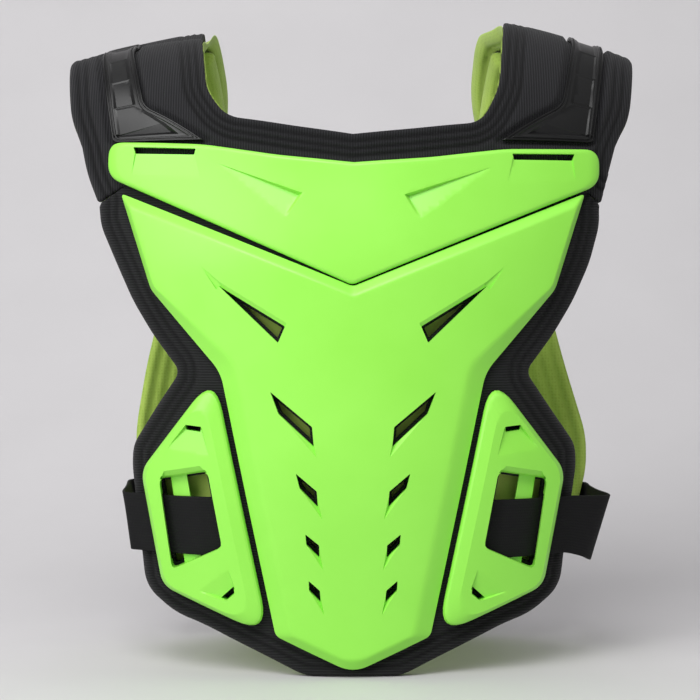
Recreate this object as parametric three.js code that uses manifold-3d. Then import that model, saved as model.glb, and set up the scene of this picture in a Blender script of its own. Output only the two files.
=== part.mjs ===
// Body armor: a padded chest protector vest with moulded plates, strap frames and waist straps.
// Millimetres, +Z up, the front faces -Y, the middle plane is x = 0, the hem stands on z = 0.
// Left and right are the wearer's: left is +X.
import * as THREE from 'three';
import { mergeVertices } from 'three/addons/utils/BufferGeometryUtils.js';
import Module from 'manifold-3d';

const wasm = await Module();
wasm.setup();

// Form of the wearer's body that every panel is bent round
const RIDGE_HEIGHT = 473;
const ARCH_RADIUS = 92;
const ARCH_START = RIDGE_HEIGHT - ARCH_RADIUS;
const ARCH_QUARTER = ARCH_RADIUS * Math.PI / 2;
const RIDGE = ARCH_START + ARCH_QUARTER;
const SHOULDER_ROUND = 700;
const FORM_SECTIONS = [
  { height: 386, forward: 0, round: 420 },
  { height: 285, forward: 10, round: 330 },
  { height: 160, forward: 12, round: 265 },
  { height: 0, forward: 2, round: 245 },
];

// Layers, measured outward from the form
const LINING = { from: 0, to: 1.6 };
const LINING_HEM = 1.5;
const PAD = { from: 2.2, to: 11.2 };
const SEAT = 12.1;
const PLATE_WALL = 3;
const PLATE_RISE = 5;
const YOKE_RISE = 3;
const FRAME_WALL = 5;
const FRAME_RISE = 6;
const BAR_TOP = 2.2;
const BAR_DEPTH = 3;
const GUARD_SEAT = 8.6;
const GUARD_POCKET = 7.7;
const GUARD_MARGIN = 1;
const GUARD_THICKNESS = 3.2;
const GUARD_RECESS = 1.4;
const VENT_SCOOP = 3;
const SCOOP_OVERLAP = 0.08;
const YOKE_RECESS = 4.2;
const YOKE_ROLL = { angle: 0.9, up: 325 };
const PAD_CUT_MARGIN = 1.5;
const ARM_LIFT = 13;
const ARM_LIFT_START = 4;
const ARM_LIFT_RUN = 38;
const ARM_STANCE = 6;
const STANCE_FROM = { x: 115, up: 395 };
const STANCE_RUN = { x: 115, up: 100 };
const STANCE_FADE = 32;

// Waist strap
const STRAP_WIDTH = 42;
const STRAP_THICKNESS = 2;
const STRAP_MIDDLE = 105;
const STRAP_SLACK = 2.8;
const STRAP_RAISE_RIGHT = 2;
const TUNNEL_HEIGHT = 5.4;
const TUNNEL_LEAN = 3.2;
const TUNNELS = [{ from: 85, to: 116 }, { from: 122, to: 160 }];

// Longest facet edge of a bent panel
const FACET = 27;
const BACK_FACET = 32;
const ARCH_FACET = 20;
const ARCH_STRETCH = 2;

// Half outlines run from the middle top, round the wearer's left, to the middle bottom.
// up: height along the form, round: how far from the corner its rounding starts, slope: width of the sloped
// border on the edge that starts at the corner, other: the corner's place on the other half where the soft
// panels are uneven. The back panel is drawn as seen from behind, so its table is the wearer's right.
const FRONT_OUTLINE = [
  { x: 0, up: 311, round: 0 },
  { x: 165, up: 351, round: 4 },
  { x: 180, up: 338, round: 5, other: [186, 338.4] },
  { x: 180.5, up: 323, round: 9, other: [185, 323] },
  { x: 173, up: 296, round: 9 },
  { x: 160, up: 268, round: 9 },
  { x: 144.5, up: 243, round: 9 },
  { x: 124.5, up: 217, round: 7 },
  { x: 142, up: 192, round: 9 },
  { x: 163, up: 163, round: 9, other: [161, 163] },
  { x: 164, up: 148, round: 7, other: [162, 148] },
  { x: 156, up: 93, round: 12 },
  { x: 152.5, up: 58, round: 12 },
  { x: 130, up: 41, round: 12 },
  { x: 108, up: 34, round: 9 },
  { x: 60, up: 12.5, round: 12 },
  { x: 34, up: 0, round: 8 },
];
const UPPER_OUTLINE = [
  { x: 0, up: 385.5, round: 0 },
  { x: 43, up: 389.5, round: 9, other: [43, 391.5] },
  { x: 92, up: 395.5, round: 11, other: [91, 400] },
  { x: 105.5, up: 423, round: 12 },
  { x: 114.5, up: RIDGE - 10, round: 20 },
  { x: 98, up: RIDGE + 44, round: 16, other: [106, RIDGE + 45] },
  { x: 96, up: RIDGE + 95, round: 16, other: [101, RIDGE + 95] },
  { x: 106, up: RIDGE + 138, round: 12 },
  { x: 184, up: RIDGE + 138, round: 12 },
  { x: 202, up: RIDGE + 90, round: 16 },
  { x: 213.5, up: RIDGE + 10, round: 16, other: [215.3, RIDGE + 10] },
  { x: 204, up: 424, round: 16, other: [208, 424] },
  { x: 190.5, up: 373, round: 12, other: [195.5, 361] },
  { x: 181, up: 339.5, round: 5, other: [187, 340.5] },
  { x: 165.5, up: 352.5, round: 4 },
  { x: 0, up: 312.5, round: 0 },
];
const BACK_OUTLINE = [
  { x: 0, up: 379, round: 0 },
  { x: 88, up: 384, round: 14 },
  { x: 102, up: 412, round: 12 },
  { x: 110, up: 487, round: 8 },
  { x: 168, up: 487, round: 10 },
  { x: 180, up: 430, round: 14 },
  { x: 183, up: 372, round: 14 },
  { x: 170, up: 325, round: 14 },
  { x: 152, up: 272, round: 14, other: [155, 272] },
  { x: 163.5, up: 218, round: 14, other: [168, 218] },
  { x: 170.5, up: 170, round: 12, other: [182.5, 164] },
  { x: 170.5, up: 140, round: 10, other: [182.5, 138] },
  { x: 158, up: 72, round: 14, other: [167, 72] },
  { x: 142, up: 45, round: 12, other: [146, 45] },
  { x: 86, up: 22, round: 12 },
  { x: 34, up: 0, round: 8 },
];
const YOKE_OUTLINE = [
  { x: 0, up: 365.3, round: 0, slope: 3 },
  { x: 54, up: 370, round: 9, slope: 3 },
  { x: 108, up: 377.6, round: 9, slope: 3 },
  { x: 178, up: 380.5, round: 12, slope: 8 },
  { x: 178.6, up: 355, round: 10, slope: 3 },
  { x: 0, up: 278.6, round: 3.5, slope: 3 },
];
const PLATE_OUTLINE = [
  { x: 0, up: 277.6, round: 3, slope: 6 },
  { x: 168, up: 345.6, round: 4, slope: 3 },
  { x: 145.3, up: 276, round: 4, slope: 8 },
  { x: 94, up: 217, round: 9, slope: 14 },
  { x: 55, up: 29.5, round: 4, slope: 7 },
  { x: 0, up: 4, round: 12, slope: 7 },
];
const FRAME_OUTLINE = [
  { x: 98.3, up: 215.8, round: 27, slope: 3 },
  { x: 153.5, up: 145.2, round: 9, slope: 3 },
  { x: 138, up: 62, round: 9, slope: 3 },
  { x: 59.5, up: 29.8, round: 26, slope: 10 },
];
const GUARD_OUTLINE = [
  { x: 106, up: 382.5, round: 2, slope: 2 },
  { x: 151, up: 415, round: 9, slope: 2 },
  { x: 163, up: 486, round: 9, slope: 2 },
  { x: 164, up: RIDGE + 24, round: 5, slope: 2 },
  { x: 190, up: RIDGE + 24, round: 5, slope: 2 },
  { x: 187, up: 486, round: 9, slope: 2 },
  { x: 175, up: 383.5, round: 5, slope: 2 },
];

// Openings of the plates, on the wearer's left and mirrored to the right
const VENTS = [
  { corners: [[94.8, 278], [47.7, 249.4], [52.7, 237.9]] },
  { corners: [[58.2, 203.6], [28.7, 179.1], [27.5, 165.1], [52.3, 188]], scoopTip: [25.5, 157.5] },
  { corners: [[40.1, 146.4], [25.4, 134], [24.7, 122.6], [37.5, 135.9]], scoopTip: [21.5, 113.9] },
  { corners: [[33.5, 103.6], [23.8, 95.8], [23.7, 86.7], [32.9, 96.1]], scoopTip: [20.9, 77.9] },
  { corners: [[31.3, 70.5], [23.3, 63.5], [22.9, 54.9], [31, 63.4]], scoopTip: [20.2, 45.9] },
];
const YOKE_SLOT = [[112.7, 374.3], [159, 376], [157.2, 371.2], [114, 370]];
const YOKE_TRIANGLE = { tip: [98, 364], deep: [38.5, 342], low: [48.3, 326.4] };
const FRAME_WINDOW = [[102.9, 146.5], [139.1, 140], [129.9, 75.2], [92.8, 92.8]];
const FRAME_SLOTS = [
  [[107.6, 178.4], [119.4, 179.6], [118.6, 176], [108.4, 174.6]],
  [[84.7, 65], [94, 56.4], [89.6, 55], [84, 60]],
];
const FRAME_BAR = [[119.3, 144.6], [131.3, 142.4], [120.9, 78.6], [108.9, 84.2]];
const GUARD_PANELS = [
  { from: 388, to: 418, innerLow: 128, innerHigh: 156, outer: 172 },
  { from: 421, to: 448, innerLow: 158, innerHigh: 162, outer: 176 },
  { from: 451, to: 478, innerLow: 163, innerHigh: 167, outer: 180 },
];

// Stations of each strap, from under the frame round to the back panel.
// On the panels a station has x and out (distance from the form); on the free run it has x and y and
// sag (how much lower the strap hangs). lean: how much further out the upper edge stands.
const STRAP_FRONT = [
  { x: 86, out: 13.6, lean: 3.2 },
  { x: 95, out: 13.7, lean: 3.2 },
  { x: 104, out: 14.8, lean: 3.2 },
  { x: 111, out: 16, lean: 3.2 },
  { x: 126, out: 16, lean: 3.2 },
  { x: 132, out: 14.8, lean: 3.2 },
  { x: 138, out: 13.8, lean: 3.2 },
  { x: 147, out: 13.7, lean: 2.6 },
  { x: 157, out: 13.8, lean: 2 },
];
const STRAP_FREE_LEFT = [
  { x: 169, y: -58, sag: 2, lean: 2 },
  { x: 178, y: -50, sag: 4, lean: 5 },
  { x: 183, y: -41, sag: 5, lean: 7 },
  { x: 184, y: -30, sag: 4, lean: 7 },
  { x: 182, y: -8, sag: 2, lean: 4 },
  { x: 182, y: 20, sag: 1, lean: 2 },
  { x: 183, y: 38, sag: 0, lean: 1 },
  { x: 181.5, y: 48, sag: 0, lean: 1 },
];
const STRAP_FREE_RIGHT = [
  { x: 164, y: -60, sag: 0, lean: 2.5 },
  { x: 165.5, y: -52, sag: 0, lean: 3.5 },
  { x: 166, y: -40, sag: 0, lean: 4.5 },
  { x: 167, y: -12, sag: 0, lean: 5 },
  { x: 169, y: 14, sag: 0, lean: 5 },
  { x: 171, y: 36, sag: 0, lean: 5 },
  { x: 171, y: 50, sag: 0, lean: 4.5 },
];
const STRAP_BACK_LEFT = [
  { x: 174, out: 14, lean: 0 },
  { x: 165, out: 13.4, lean: 0 },
  { x: 150, out: 13, lean: 0 },
  { x: 134, out: 13, lean: 0 },
  { x: 122, out: 13, lean: 0 },
];
const STRAP_BACK_RIGHT = [
  { x: 163, out: 14.8, lean: 4 },
  { x: 154, out: 13.6, lean: 2 },
  { x: 142, out: 13, lean: 0 },
  { x: 130, out: 13, lean: 0 },
  { x: 120, out: 13, lean: 0 },
];

// Materials, from the look of the object
const lime = { color: 0x97ea53, roughness: 0.45, metalness: 0 };
const knit = { color: 0x1c1c1f, roughness: 0.9, metalness: 0 };
const mesh = { color: 0xa0bc50, roughness: 0.85, metalness: 0 };
const guardBlack = { color: 0x18181a, roughness: 0.5, metalness: 0 };
const webbing = { color: 0x121214, roughness: 0.85, metalness: 0 };

function ease(t) {
  const k = Math.min(Math.max(t, 0), 1);
  return k * k * (3 - 2 * k);
}

function mix(a, b, t) {
  return a + (b - a) * t;
}

// Forward bulge and cross radius of the form at a height below the arch
function formSection(height) {
  const last = FORM_SECTIONS.length - 1;
  let row = 0;
  while (row < last - 1 && height < FORM_SECTIONS[row + 1].height) {
    row += 1;
  }
  const above = FORM_SECTIONS[row];
  const below = FORM_SECTIONS[row + 1];
  const t = ease((above.height - height) / (above.height - below.height));
  return {
    forward: mix(above.forward, below.forward, t),
    round: 1 / mix(1 / above.round, 1 / below.round, t),
  };
}

// How far the form falls back at x from a circle of the given radius, and its slope there
function fallBack(x, round) {
  const depth = Math.sqrt(round * round - x * x);
  return { fall: round - depth, slope: x / depth };
}

// Point at x, at a height along the form (over the shoulder to the back) and a distance out from it
function onForm(x, up, out) {
  if (up <= ARCH_START) {
    const section = formSection(up);
    const side = fallBack(x, section.round);
    const push = out * Math.hypot(1, side.slope) - side.fall;
    return new THREE.Vector3(x, -ARCH_RADIUS - section.forward - push, up);
  }
  const angle = (RIDGE - up) / ARCH_RADIUS;
  const top = Math.cos(angle) ** 2;
  const side = fallBack(x, FORM_SECTIONS[0].round);
  const crown = fallBack(x, SHOULDER_ROUND);
  const fall = mix(side.fall, crown.fall, top);
  const slope = mix(side.slope, crown.slope, top);
  const reach = ARCH_RADIUS + out * Math.hypot(1, slope) - fall;
  return new THREE.Vector3(x, -Math.sin(angle) * reach, ARCH_START + Math.cos(angle) * reach);
}

// Shoulder arms rise off the form behind the ridge, to pass over the wings of the back panel
function armLift(up) {
  return ARM_LIFT * ease((up - RIDGE - ARM_LIFT_START) / ARM_LIFT_RUN);
}

// Whole outline of a piece from its half table
function wholeOutline(half) {
  const rows = half.map((row) => ({ ...row }));
  for (let i = half.length - 1; i >= 0; i -= 1) {
    if (half[i].x > 0) {
      const [x, up] = half[i].other ?? [half[i].x, half[i].up];
      const edge = half[Math.max(i - 1, 0)];
      rows.push({ ...half[i], x: -x, up, slope: edge.slope });
    }
  }
  return rows;
}

function mirrored(rows) {
  return rows.map(([x, up]) => [-x, up]);
}

// Moves every edge inward by its own slope width
function insetRows(rows) {
  const count = rows.length;
  const points = rows.map((row) => new THREE.Vector2(row.x, row.up));
  const turn = Math.sign(THREE.ShapeUtils.area(points));
  const edges = points.map((point, i) => {
    const along = points[(i + 1) % count].clone().sub(point).normalize();
    const inward = new THREE.Vector2(-along.y, along.x).multiplyScalar(turn * rows[i].slope);
    return { start: point.clone().add(inward), along };
  });
  return rows.map((row, i) => {
    const before = edges[(i + count - 1) % count];
    const after = edges[i];
    const cross = before.along.x * after.along.y - before.along.y * after.along.x;
    const gap = after.start.clone().sub(before.start);
    const parallel = Math.abs(cross) < 0.02;
    const t = parallel ? 0 : (gap.x * after.along.y - gap.y * after.along.x) / cross;
    const start = parallel ? after.start : before.start;
    const corner = start.clone().addScaledVector(before.along, t);
    return { ...row, x: corner.x, up: corner.y };
  });
}

// Loop of points with every corner rounded
function roundedLoop(rows, steps = 3) {
  const count = rows.length;
  const loop = [];
  rows.forEach((row, i) => {
    const corner = new THREE.Vector2(row.x, row.up);
    if (!row.round) {
      loop.push(corner);
      return;
    }
    const before = rows[(i + count - 1) % count];
    const after = rows[(i + 1) % count];
    const back = new THREE.Vector2(before.x, before.up).sub(corner);
    const ahead = new THREE.Vector2(after.x, after.up).sub(corner);
    const reach = Math.min(row.round, 0.45 * back.length(), 0.45 * ahead.length());
    const start = corner.clone().addScaledVector(back.normalize(), reach);
    const end = corner.clone().addScaledVector(ahead.normalize(), reach);
    for (let k = 0; k <= steps; k += 1) {
      const t = k / steps;
      const first = start.clone().lerp(corner, t);
      loop.push(first.lerp(corner.clone().lerp(end, t), t));
    }
  });
  return THREE.ShapeUtils.isClockWise(loop) ? loop.reverse() : loop;
}

function cornerLoop(corners) {
  return roundedLoop(corners.map(([x, up]) => ({ x, up, round: 0 })));
}

function middleOf(corners) {
  const sum = corners.reduce(([x, up], corner) => [x + corner[0], up + corner[1]], [0, 0]);
  return sum.map((value) => value / corners.length);
}

// Point a little way from a corner towards the middle, so that a scoop runs into its vent
function towards(corner, middle) {
  return corner.map((value, i) => mix(value, middle[i], SCOOP_OVERLAP));
}

// Loop pushed outward by a margin, for a cut that is wider than what lies over it
function grownLoop(loop, margin) {
  const rows = loop.map((point) => ({ x: point.x, up: point.y, round: 0, slope: -margin }));
  return roundedLoop(insetRows(rows));
}

// Loop with every edge split into the given number of steps
function splitLoop(loop, counts) {
  return loop.flatMap((point, i) => {
    const next = loop[(i + 1) % loop.length];
    return Array.from({ length: counts[i] }, (_, k) => point.clone().lerp(next, k / counts[i]));
  });
}

function splitCounts(loop, facet, stretch) {
  return loop.map((point, i) => {
    const next = loop[(i + 1) % loop.length];
    const length = Math.hypot(next.x - point.x, (next.y - point.y) * stretch);
    return Math.max(1, Math.ceil(length / facet));
  });
}

function inLoop(x, y, loop) {
  let inside = false;
  loop.forEach((point, i) => {
    const next = loop[(i + 1) % loop.length];
    const spans = point.y > y !== next.y > y;
    if (spans && x < point.x + (next.x - point.x) * (y - point.y) / (next.y - point.y)) {
      inside = !inside;
    }
  });
  return inside;
}

// Flips shared edges until every pair of triangles has its better diagonal
function flipEdges(points, faces) {
  const angle = (tip, p, q) => {
    const u = points[p].clone().sub(points[tip]);
    const v = points[q].clone().sub(points[tip]);
    return Math.abs(Math.atan2(u.x * v.y - u.y * v.x, u.dot(v)));
  };
  for (let pass = 0; pass < 200; pass += 1) {
    const seen = new Map();
    const used = new Set();
    let flips = 0;
    for (let f = 0; f < faces.length; f += 1) {
      for (let k = 0; k < 3 && !used.has(f); k += 1) {
        const [p, q, tip] = [faces[f][k], faces[f][(k + 1) % 3], faces[f][(k + 2) % 3]];
        const other = seen.get(`${q} ${p}`);
        seen.set(`${p} ${q}`, { f, tip });
        const open = other && !used.has(other.f);
        if (open && angle(tip, p, q) + angle(other.tip, p, q) > Math.PI + 1e-6) {
          faces[f] = [tip, p, other.tip];
          faces[other.f] = [other.tip, q, tip];
          used.add(f).add(other.f);
          flips += 1;
        }
      }
    }
    if (!flips) {
      break;
    }
  }
}

// Even triangles over a loop, with inner points on a staggered grid
function evenCap(loop, facet, stretch) {
  const points = loop.map((point) => new THREE.Vector2(point.x, point.y * stretch));
  const faces = THREE.ShapeUtils.triangulateShape(points, []);
  const rim = points.slice();
  const box = new THREE.Box2().setFromPoints(rim);
  const step = facet * 0.87;
  const rows = Math.floor((box.max.y - box.min.y) / step);
  const firstColumn = Math.floor(box.min.x / facet) - 1;
  const lastColumn = Math.ceil(box.max.x / facet);
  for (let row = 1; row <= rows; row += 1) {
    const y = box.min.y + (row - 0.37) * step;
    for (let column = firstColumn; column <= lastColumn; column += 1) {
      const x = (column + (row % 2) / 2) * facet;
      const clear = rim.every((point) => Math.hypot(point.x - x, point.y - y) > facet * 0.55);
      if (clear && inLoop(x, y, rim)) {
        const host = faces.findIndex((face) => inLoop(x, y, face.map((corner) => points[corner])));
        if (host >= 0) {
          const [p, q, r] = faces[host];
          const own = points.push(new THREE.Vector2(x, y)) - 1;
          faces[host] = [p, q, own];
          faces.push([q, r, own], [r, p, own]);
        }
      }
    }
  }
  flipEdges(points, faces);
  const inner = points.slice(rim.length).map((point) => new THREE.Vector2(point.x, point.y / stretch));
  return { inner, faces };
}

// Closed solid through level loops of equal point count, placed by x, up and out
function stack(levels, place, facet = Infinity, stretch = 1) {
  const counts = splitCounts(levels[0].loop, facet, stretch);
  const loops = levels.map((level) => splitLoop(level.loop, counts));
  const count = loops[0].length;
  const positions = [];
  const index = [];
  const addPoint = (point, out) => {
    const spot = place(point.x, point.y, out);
    positions.push(spot.x, spot.y, spot.z);
  };
  loops.forEach((loop, i) => {
    loop.forEach((point, k) => {
      addPoint(point, levels[i].outs ? levels[i].outs[k] : levels[i].out);
    });
  });
  for (let level = 0; level + 1 < loops.length; level += 1) {
    for (let i = 0; i < count; i += 1) {
      const a = level * count + i;
      const b = level * count + ((i + 1) % count);
      index.push(a, b, b + count, a, b + count, a + count);
    }
  }
  [0, loops.length - 1].forEach((level) => {
    const cap = facet < Infinity
      ? evenCap(loops[level], facet, stretch)
      : { inner: [], faces: THREE.ShapeUtils.triangulateShape(loops[level], []) };
    const innerStart = positions.length / 3;
    cap.inner.forEach((point) => addPoint(point, levels[level].out));
    const number = (i) => (i < count ? level * count + i : innerStart + i - count);
    cap.faces.forEach((face) => {
      const [a, b, c] = face.map(number);
      index.push(...(level === 0 ? [a, c, b] : [a, b, c]));
    });
  });
  const geometry = new THREE.BufferGeometry();
  geometry.setAttribute('position', new THREE.Float32BufferAttribute(positions, 3));
  geometry.setIndex(index);
  return solid(geometry);
}

// Cutter right through a piece on the front form
function cutter(corners, from, to, margin = 0, place = onForm) {
  const loop = cornerLoop(corners);
  const cut = margin ? grownLoop(loop, margin) : loop;
  return stack([{ loop: cut, out: from }, { loop: cut, out: to }], place);
}

// Cutter with its own floor height at each corner, open upward
function facetCutter(corners, top, place = onForm) {
  const loop = corners.map(([x, up]) => new THREE.Vector2(x, up));
  const outs = corners.map((corner) => corner[2]);
  if (THREE.ShapeUtils.isClockWise(loop)) {
    loop.reverse();
    outs.reverse();
  }
  return stack([{ loop, outs }, { loop, out: top }], place);
}

// Padded or lined panel of even thickness
function panel(loop, layer, place, facet, stretch = 1) {
  return stack([{ loop, out: layer.from }, { loop, out: layer.to }], place, facet, stretch);
}

function solid(geometry) {
  const merged = mergeVertices(geometry, 1e-4);
  return new wasm.Manifold(new wasm.Mesh({
    numProp: 3,
    vertProperties: new Float32Array(merged.attributes.position.array),
    triVerts: new Uint32Array(merged.index.array),
  }));
}

function geometryOf(body) {
  const cut = body.getMesh();
  const geometry = new THREE.BufferGeometry();
  geometry.setAttribute('position', new THREE.Float32BufferAttribute(cut.vertProperties, 3));
  geometry.setIndex(Array.from(cut.triVerts));
  return geometry;
}

// Turns a piece made on the front form round to the back
function toBack(x, up, out) {
  const point = onForm(x, up, out);
  return new THREE.Vector3(-point.x, -point.y, point.z);
}

// The left arm stands a little higher at the neck than the right one
function armStance(x, up) {
  const beside = 1 - Math.min(Math.max((Math.abs(x) - STANCE_FROM.x) / STANCE_RUN.x, 0), 1);
  const raised = ease((up - STANCE_FROM.up) / STANCE_RUN.up) * (1 - ease((up - RIDGE) / STANCE_FADE));
  return ARM_STANCE * Math.sign(x) * beside * raised;
}

// The yoke sits a little askew, lower on the wearer's left
function onYokeSeat(x, up, out) {
  const angle = THREE.MathUtils.degToRad(YOKE_ROLL.angle);
  const rise = up - YOKE_ROLL.up;
  const across = x * Math.cos(angle) + rise * Math.sin(angle);
  return onForm(across, YOKE_ROLL.up + rise * Math.cos(angle) - x * Math.sin(angle), out);
}

function overArm(x, up, out) {
  const point = onForm(x, up, out + armLift(up));
  point.z += armStance(x, up);
  return point;
}

// Lining outlines end a little above the hem of their panel
function liningLoop(half) {
  const rows = half.map((row) => ({ ...row, up: Math.max(row.up, LINING_HEM) }));
  return roundedLoop(wholeOutline(rows));
}

const frontLoop = roundedLoop(wholeOutline(FRONT_OUTLINE));
const upperLoop = roundedLoop(wholeOutline(UPPER_OUTLINE));
const backLoop = roundedLoop(wholeOutline(BACK_OUTLINE));

const vest = new THREE.Group();
vest.name = 'body_armor';

function addPiece(name, body, look) {
  const geometry = geometryOf(body);
  geometry.computeVertexNormals();
  const piece = new THREE.Mesh(geometry, new THREE.MeshStandardMaterial(look));
  piece.name = name;
  vest.add(piece);
}

// Moulded plate with a sloped border
function mouldedPlate(rows, wall, rise, seat = SEAT, place = onForm, facet = FACET) {
  const base = roundedLoop(rows);
  const crown = roundedLoop(insetRows(rows));
  const levels = [
    { loop: base, out: seat },
    { loop: base, out: seat + wall },
    { loop: crown, out: seat + wall + rise },
  ];
  return stack(levels, place, facet);
}

// Black front panel, cut out behind the vents and the windows of the side frames
function frontPanel() {
  let body = panel(frontLoop, PAD, onForm, FACET);
  [...VENTS.map((vent) => vent.corners), FRAME_WINDOW].forEach((corners) => {
    [corners, mirrored(corners)].forEach((side) => {
      body = body.subtract(cutter(side, PAD.from - 2, PAD.to + 2, PAD_CUT_MARGIN));
    });
  });
  return body;
}

// Lower green plate with vents and the scoop below each vent
function chestPlate() {
  const top = SEAT + PLATE_WALL + PLATE_RISE;
  let body = mouldedPlate(wholeOutline(PLATE_OUTLINE), PLATE_WALL, PLATE_RISE);
  VENTS.forEach((vent) => {
    [1, -1].forEach((side) => {
      const corners = side > 0 ? vent.corners : mirrored(vent.corners);
      if (vent.scoopTip) {
        const [, upper, deep, outer] = corners.map((corner) => towards(corner, middleOf(corners)));
        const tip = [side * vent.scoopTip[0], vent.scoopTip[1], top - 0.4];
        const low = [...deep, top - VENT_SCOOP];
        body = body.subtract(facetCutter([[...outer, top - 0.4], tip, [...upper, top - 0.4], low], top + 4));
      }
      body = body.subtract(cutter(corners, SEAT - 2, top + 2));
    });
  });
  return body;
}

// Upper green plate with its two slots and two triangular recesses
function chestYoke() {
  const top = SEAT + PLATE_WALL + YOKE_RISE;
  let body = mouldedPlate(wholeOutline(YOKE_OUTLINE), PLATE_WALL, YOKE_RISE, SEAT, onYokeSeat);
  [1, -1].forEach((side) => {
    const slot = side > 0 ? YOKE_SLOT : mirrored(YOKE_SLOT);
    const [tip, deep, low] = [YOKE_TRIANGLE.tip, YOKE_TRIANGLE.deep, YOKE_TRIANGLE.low].map(
      ([x, up]) => [side * x, up],
    );
    body = body.subtract(cutter(slot, SEAT - 2, top + 2, 0, onYokeSeat));
    body = body.subtract(facetCutter(
      [[...tip, top - 0.3], [...deep, top - YOKE_RECESS], [...low, top - 0.3]],
      top + 2,
      onYokeSeat,
    ));
  });
  return body;
}

// Strap frame: window, bar across it, two slots, and the way for the strap under its rails
function sideFrame(side) {
  const place = (corners) => (side > 0 ? corners : mirrored(corners));
  const rows = FRAME_OUTLINE.map((row) => ({ ...row, x: side * row.x }));
  const ordered = side > 0 ? rows : rows.map((row, i) => {
    const own = rows[rows.length - 1 - i];
    const edge = rows[(2 * rows.length - 2 - i) % rows.length];
    return { ...own, slope: edge.slope };
  });
  const top = SEAT + FRAME_WALL + FRAME_RISE;
  let body = mouldedPlate(ordered, FRAME_WALL, FRAME_RISE);
  [FRAME_WINDOW, ...FRAME_SLOTS].forEach((corners) => {
    body = body.subtract(cutter(place(corners), SEAT - 2, top + 2));
  });
  const edge = STRAP_WIDTH / 2 + STRAP_SLACK;
  TUNNELS.forEach(({ from, to }) => {
    const corners = [[from - TUNNEL_LEAN, STRAP_MIDDLE - edge], [to - TUNNEL_LEAN, STRAP_MIDDLE - edge],
      [to + TUNNEL_LEAN, STRAP_MIDDLE + edge], [from + TUNNEL_LEAN, STRAP_MIDDLE + edge]];
    body = body.subtract(cutter(place(corners), SEAT - 2, SEAT + TUNNEL_HEIGHT));
  });
  body = body.add(cutter(place(FRAME_BAR), SEAT - BAR_DEPTH, SEAT + BAR_TOP));
  return body;
}

function guardRows(side) {
  const rows = GUARD_OUTLINE.map((row) => ({ ...row, x: side * row.x }));
  return side > 0 ? rows : rows.reverse();
}

// Shoulder panel with a pocket pressed in under each guard
function shoulderPanel() {
  let body = panel(upperLoop, PAD, overArm, FACET, ARCH_STRETCH);
  [1, -1].forEach((side) => {
    const loop = grownLoop(roundedLoop(guardRows(side), 2), GUARD_MARGIN);
    body = body.subtract(panel(loop, { from: GUARD_POCKET, to: PAD.to + 6 }, overArm, ARCH_FACET));
  });
  return body;
}

// Black guard on the shoulder arm with three recessed panels
function shoulderGuard(side) {
  const top = GUARD_SEAT + GUARD_THICKNESS;
  let body = mouldedPlate(guardRows(side), GUARD_THICKNESS - 1, 1, GUARD_SEAT, overArm, ARCH_FACET);
  GUARD_PANELS.forEach((panel) => {
    body = body.subtract(facetCutter([
      [side * panel.innerLow, panel.from, top - GUARD_RECESS],
      [side * panel.outer, panel.from, top - GUARD_RECESS],
      [side * (panel.outer + 3), panel.to, top - 0.4],
      [side * panel.innerHigh, panel.to, top - 0.4],
    ], top + 5, overArm));
  });
  return body;
}

// Upper and lower edge points of the strap at each station
function strapStations(free, onBack, raise) {
  const low = STRAP_MIDDLE + raise - STRAP_WIDTH / 2;
  const high = STRAP_MIDDLE + raise + STRAP_WIDTH / 2;
  const front = STRAP_FRONT.map(({ x, out, lean }) => ({
    low: onForm(x - lean, low, out),
    high: onForm(x + lean, high, out),
  }));
  const loose = free.map(({ x, y, sag, lean }) => ({
    low: new THREE.Vector3(x - lean, y, low - sag * 1.6),
    high: new THREE.Vector3(x + lean, y, high - sag * 0.4),
  }));
  const back = onBack.map(({ x, out, lean }) => ({
    low: toBack(lean - x, low, out),
    high: toBack(-x - lean, high, out),
  }));
  return [...front, ...loose, ...back];
}

// Flat webbing through the stations, one rectangular section at each
function webbingStrap(side, free, onBack, raise) {
  const stations = strapStations(free, onBack, raise);
  const half = STRAP_THICKNESS / 2;
  const positions = [];
  const out = new THREE.Vector3();
  stations.forEach((station, i) => {
    const before = stations[Math.max(i - 1, 0)];
    const after = stations[Math.min(i + 1, stations.length - 1)];
    ['low', 'high'].forEach((edge) => {
      const along = after[edge].clone().sub(before[edge]);
      out.set(along.y, -along.x, 0).normalize().multiplyScalar(half);
      const outer = station[edge].clone().add(out);
      const inner = station[edge].clone().sub(out);
      positions.push(side * outer.x, outer.y, outer.z, side * inner.x, inner.y, inner.z);
    });
  });
  const index = [];
  const quad = (a, b, c, d) => {
    if (side > 0) {
      index.push(a, b, c, a, c, d);
    } else {
      index.push(a, c, b, a, d, c);
    }
  };
  const last = (stations.length - 1) * 4;
  for (let start = 0; start < last; start += 4) {
    [[0, 2], [2, 3], [3, 1], [1, 0]].forEach(([p, q]) => {
      quad(start + p, start + p + 4, start + q + 4, start + q);
    });
  }
  quad(0, 2, 3, 1);
  quad(last, last + 1, last + 3, last + 2);
  const geometry = new THREE.BufferGeometry();
  geometry.setAttribute('position', new THREE.Float32BufferAttribute(positions, 3));
  geometry.setIndex(index);
  return solid(geometry);
}

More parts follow.
